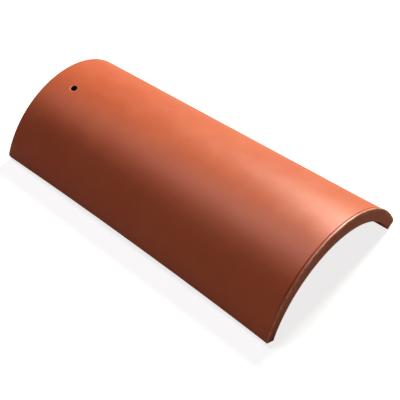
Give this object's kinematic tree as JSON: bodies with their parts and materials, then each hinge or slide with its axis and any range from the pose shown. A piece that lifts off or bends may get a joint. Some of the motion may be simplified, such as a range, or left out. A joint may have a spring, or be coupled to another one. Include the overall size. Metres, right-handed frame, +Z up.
{
  "type": "ridge tile",
  "caption": "Tapered half-round fired clay ridge tile with a nail hole near its narrow end and a slim raised lip round its wide end.",
  "frame": {"origin": "under the middle of the tile, on the level plane that its feet stand on", "axes": "+X along the tile towards its wide end, +Y across it, +Z up through the crown"},
  "size_m": [0.45, 0.245, 0.0906],
  "materials": {
    "fired_clay": "satin, smooth fired clay"
  },
  "bodies": {
    "root": {"ridge_tile": "fired_clay"}
  },
  "joints": []
}
